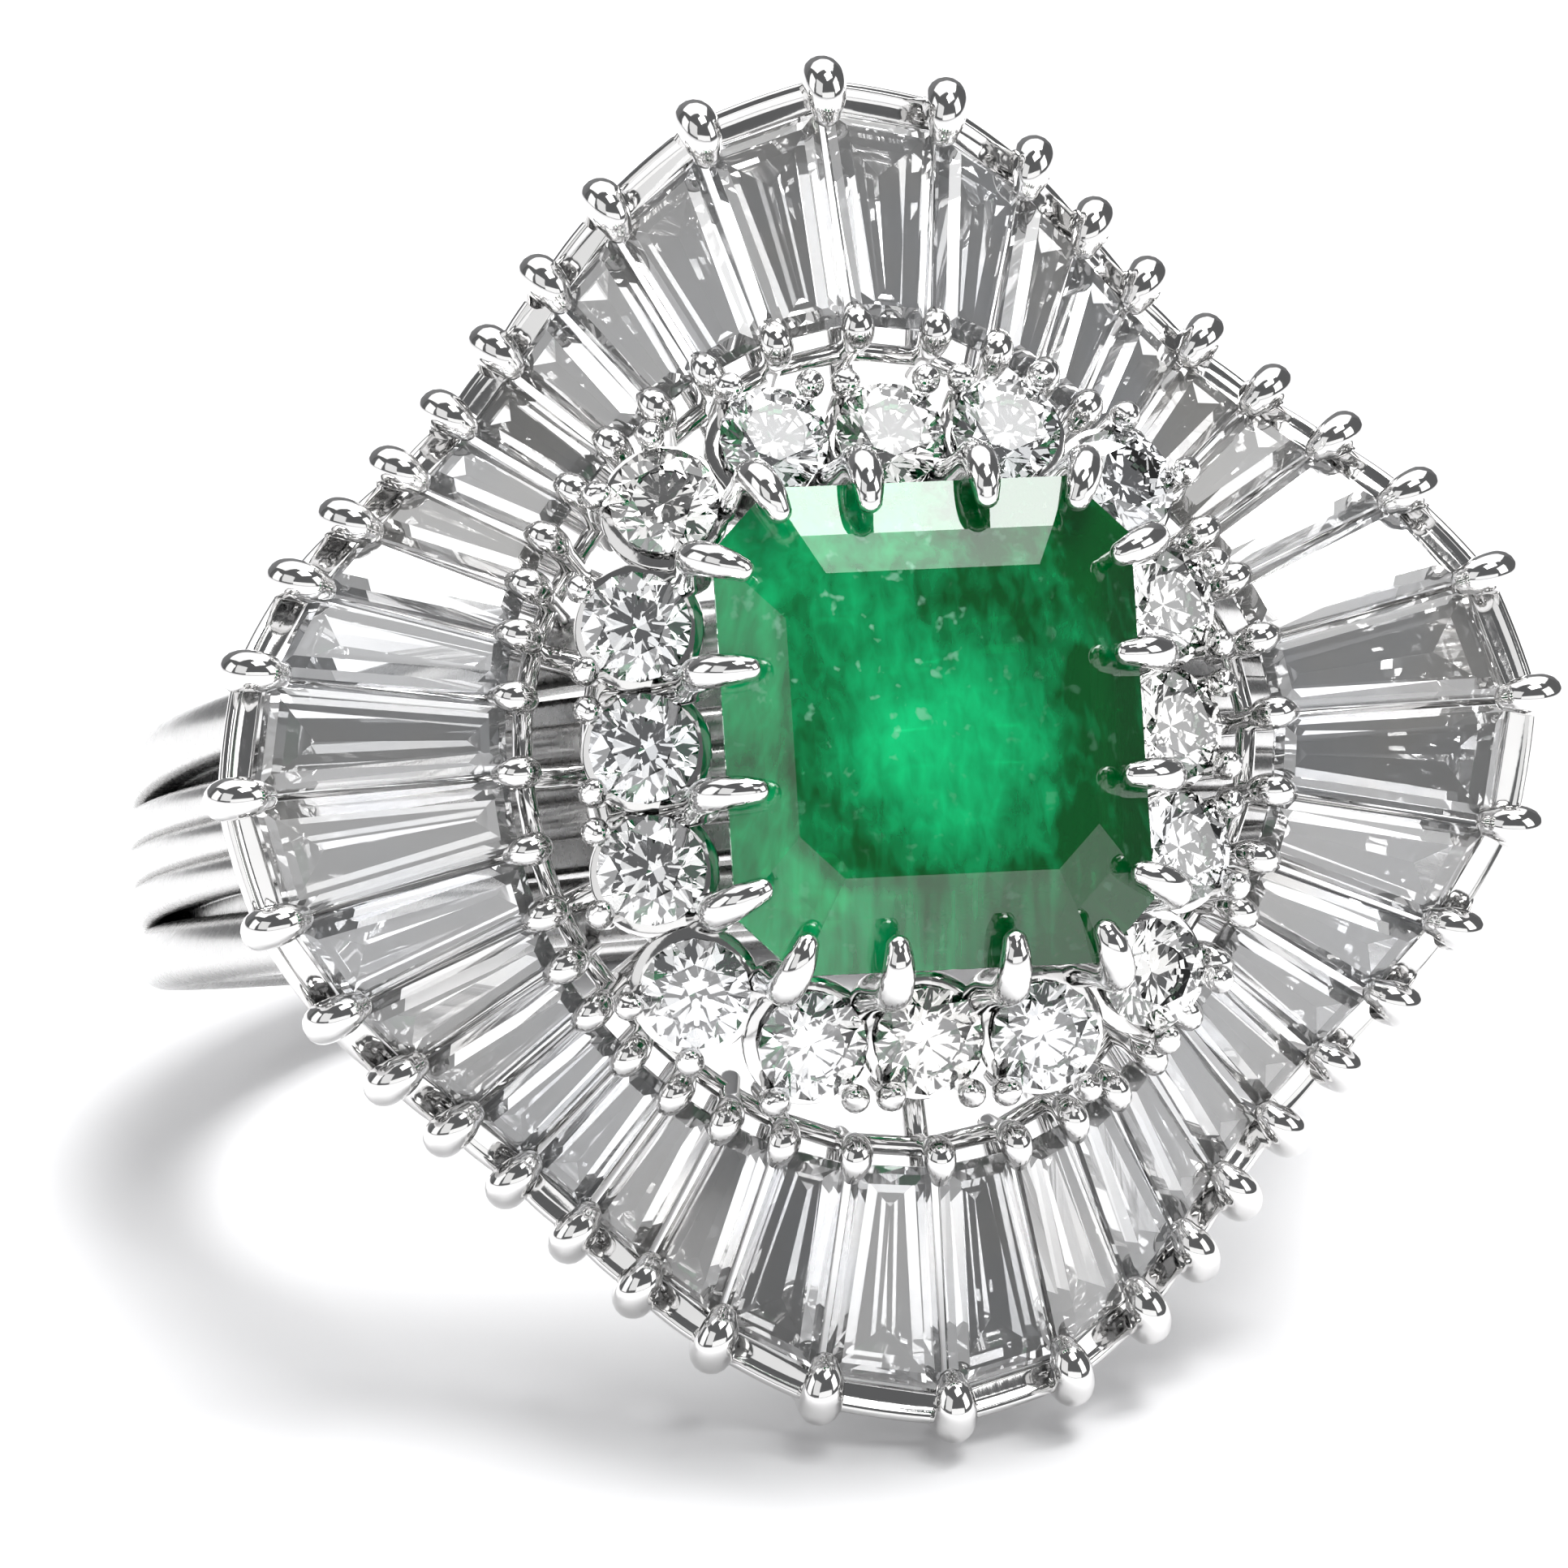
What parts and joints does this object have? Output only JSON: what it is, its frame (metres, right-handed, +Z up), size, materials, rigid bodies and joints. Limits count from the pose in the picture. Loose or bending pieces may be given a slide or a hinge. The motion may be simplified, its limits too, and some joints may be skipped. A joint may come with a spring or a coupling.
{
  "type": "ballerina ring",
  "caption": "Finger ring with a step-cut green centre stone, a halo of round stones in claws and a waved lozenge skirt of tapered baguettes on a ribbed band.",
  "frame": {"origin": "on the ground, under the middle of the ring as it lies on its side", "axes": "+Z up; the stones face -Y and lean back, the band is at +Y; X runs across the finger"},
  "size_m": [0.0228, 0.025, 0.0209],
  "materials": {
    "platinum": "polished white jewellery metal",
    "emerald": "polished step-cut green stone with faint inclusions",
    "diamond": "polished colourless faceted stone"
  },
  "bodies": {
    "root": {"mounting": "platinum", "emerald": "emerald", "round_diamonds": "diamond", "baguette_01": "diamond", "baguette_02": "diamond", "baguette_03": "diamond", "baguette_04": "diamond", "baguette_05": "diamond", "baguette_06": "diamond", "baguette_07": "diamond", "baguette_08": "diamond", "baguette_09": "diamond", "baguette_10": "diamond", "baguette_11": "diamond", "baguette_12": "diamond", "baguette_13": "diamond", "baguette_14": "diamond", "baguette_15": "diamond", "baguette_16": "diamond", "baguette_17": "diamond", "baguette_18": "diamond", "baguette_19": "diamond", "baguette_20": "diamond", "baguette_21": "diamond", "baguette_22": "diamond", "baguette_23": "diamond", "baguette_24": "diamond", "baguette_25": "diamond", "baguette_26": "diamond", "baguette_27": "diamond", "baguette_28": "diamond", "baguette_29": "diamond", "baguette_30": "diamond", "baguette_31": "diamond", "baguette_32": "diamond", "baguette_33": "diamond", "baguette_34": "diamond", "baguette_35": "diamond", "baguette_36": "diamond", "baguette_37": "diamond", "baguette_38": "diamond", "baguette_39": "diamond", "baguette_40": "diamond"}
  },
  "joints": []
}
